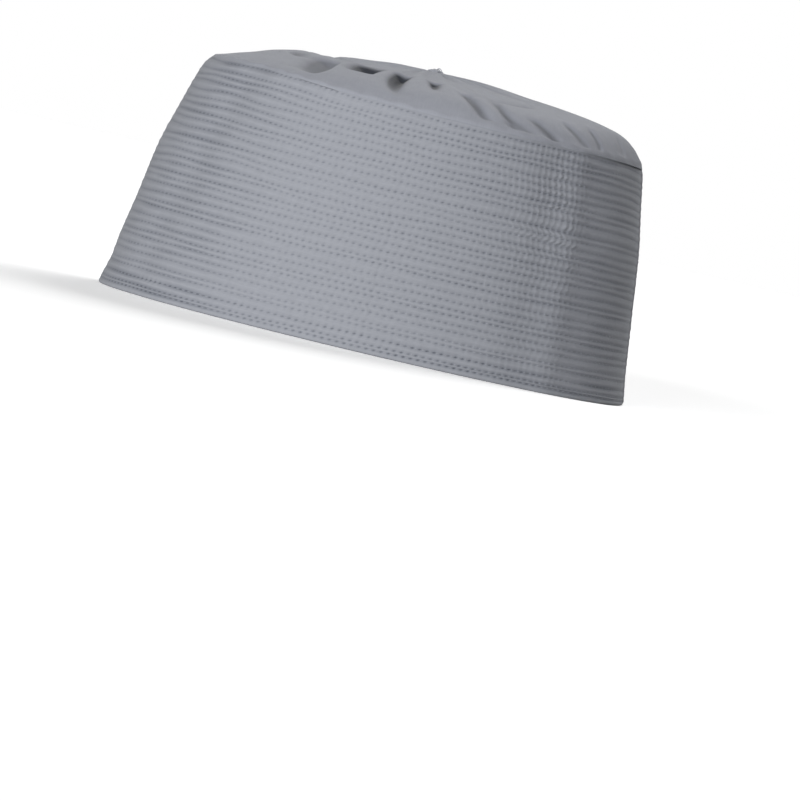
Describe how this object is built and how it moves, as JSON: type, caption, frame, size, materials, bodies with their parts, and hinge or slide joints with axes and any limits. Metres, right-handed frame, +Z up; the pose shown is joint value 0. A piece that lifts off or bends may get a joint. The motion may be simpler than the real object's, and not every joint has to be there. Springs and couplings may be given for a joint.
{
  "type": "kufi cap",
  "caption": "Brimless round cloth cap with a stiff stitched band that tapers upwards and a shallow crown pleated to a small knot.",
  "frame": {"origin": "centre of the cap's box, at the level of its lower edge, which is flat and stands on the surface", "axes": "+Z up; +Y towards the back of the cap, where the band's seam is; -Y towards the front; +X towards the wearer's left"},
  "size_m": [0.158, 0.2058, 0.1081],
  "materials": {
    "stitched_cloth": "matt slate-grey woven cotton and polyester cloth, layered and machine stitched in close level rows",
    "plain_cloth": "matt slate-grey woven cotton and polyester cloth, one layer with pleats",
    "knot_cloth": "matt slate-grey cloth tuft wound with thread"
  },
  "bodies": {
    "root": {"band": "stitched_cloth", "crown": "plain_cloth", "gather_knot": "knot_cloth"}
  },
  "joints": []
}
